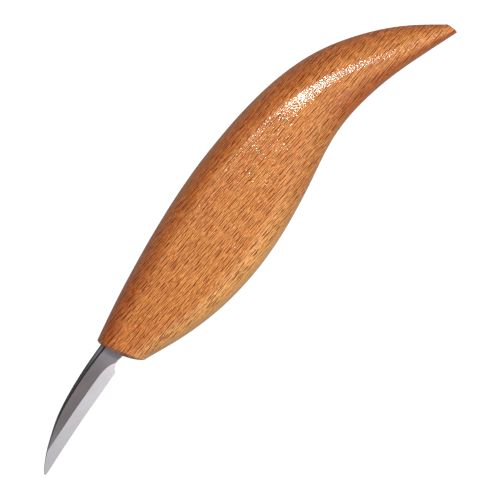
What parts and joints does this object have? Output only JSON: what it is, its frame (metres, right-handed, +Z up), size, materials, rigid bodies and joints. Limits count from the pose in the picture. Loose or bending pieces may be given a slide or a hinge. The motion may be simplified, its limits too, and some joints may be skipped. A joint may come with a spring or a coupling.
{
  "type": "chip carving knife",
  "caption": "Chip carving knife: a short straight-edged steel blade with a hidden tang, bedded in a palm-filling varnished beech handle that curves down to a tail.",
  "frame": {"origin": "on the surface that the knife lies on, under the middle of its bounding box", "axes": "+X along the knife's length from the blade's tip to the handle's tail, +Y towards the blade's spine and the handle's back, +Z up through the knife's thickness"},
  "size_m": [0.1498, 0.0296, 0.02],
  "materials": {
    "steel": "fine lengthwise grinding marks, brighter on the bevels",
    "beech": "oiled and varnished, satin, with dark ray flecks along the grain",
    "epoxy": "cured amber adhesive, hardly visible in the joint"
  },
  "bodies": {
    "root": {"blade": "steel", "handle": "beech", "tang_epoxy": "epoxy"}
  },
  "joints": []
}
